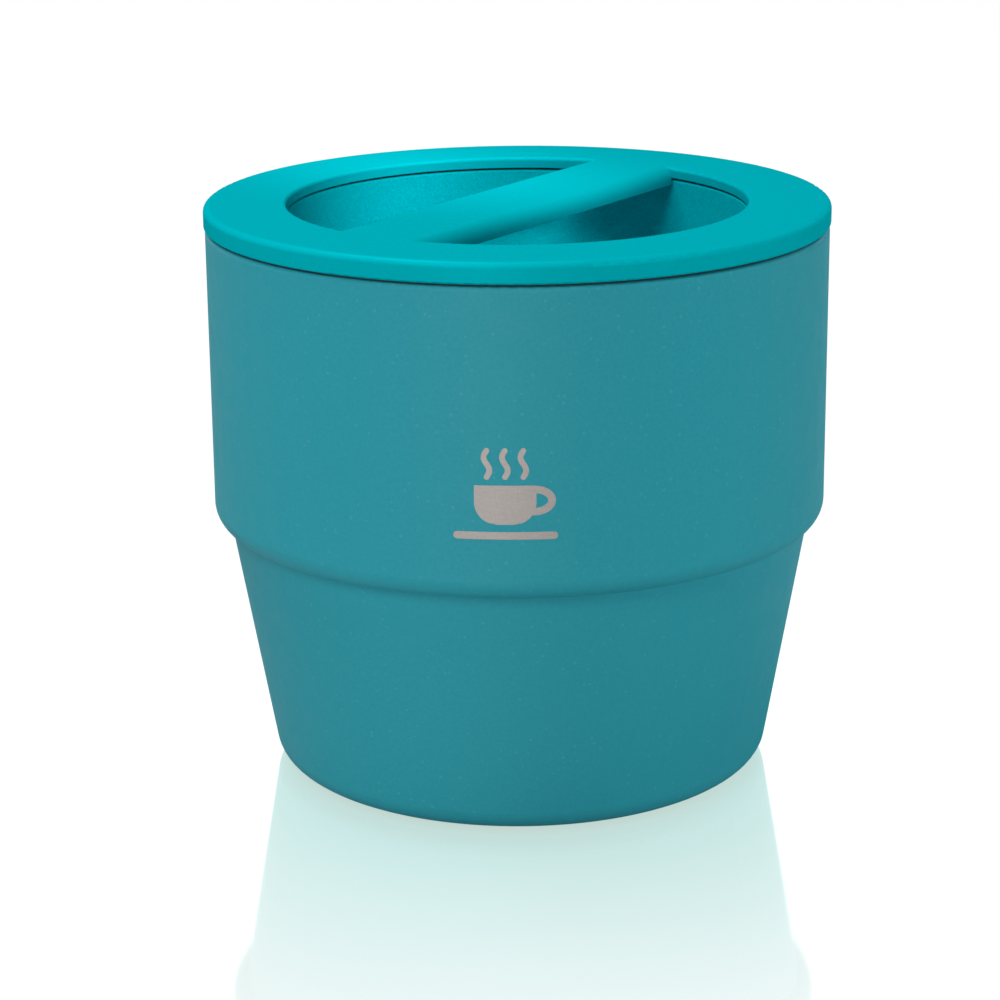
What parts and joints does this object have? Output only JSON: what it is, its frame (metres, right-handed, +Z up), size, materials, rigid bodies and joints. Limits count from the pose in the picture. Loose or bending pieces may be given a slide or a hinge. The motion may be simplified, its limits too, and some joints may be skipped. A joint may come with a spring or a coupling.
{
  "type": "insulated travel cup",
  "caption": "Double-wall steel travel cup with a stepped, powder-coated body and a screw lid that has a recessed crossbar grip.",
  "frame": {"origin": "centre of the base, on the surface that the cup stands on", "axes": "+Z up along the cup's axis, towards the lid; the lid's crossbar runs along Y and its finger wells lie towards +X and -X"},
  "size_m": [0.1, 0.1, 0.0927],
  "materials": {
    "powder_coat": "satin powder coat",
    "bare_steel": "brushed",
    "seal_glass": "glossy",
    "getter_metal": "matte",
    "foil": "bright foil",
    "pad_rubber": "matte",
    "gasket_rubber": "matte",
    "cover_plastic": "satin",
    "bowl_plastic": "fine texture",
    "plug_plastic": "satin",
    "foam": "foam"
  },
  "bodies": {
    "cup": {"outer_shell": "powder_coat", "inner_liner": "bare_steel", "base_plate": "bare_steel", "vacuum_seal": "seal_glass", "getter": "getter_metal", "getter_clip": "bare_steel", "radiation_foil": "foil", "foot_pad": "pad_rubber"},
    "gasket": {"lid_gasket": "gasket_rubber"},
    "lid": {"lid_cover": "cover_plastic", "lid_bowl": "bowl_plastic", "lid_plug": "plug_plastic", "lid_insulation": "foam"}
  },
  "joints": [
    {"name": "lid_rise", "type": "slide", "parent": "cup", "child": "gasket", "axis": [0, 0, 1], "range_m": [0, 0.0241]},
    {"name": "lid_turn", "type": "hinge", "parent": "gasket", "child": "lid", "pos_m": [0, 0, 0], "axis": [0, 0, 1], "range_deg": [0, 720]}
  ],
  "couplings": [
    {"joint": "lid_rise", "follows": "lid_turn", "m_per_rad": 0.0019099}
  ]
}
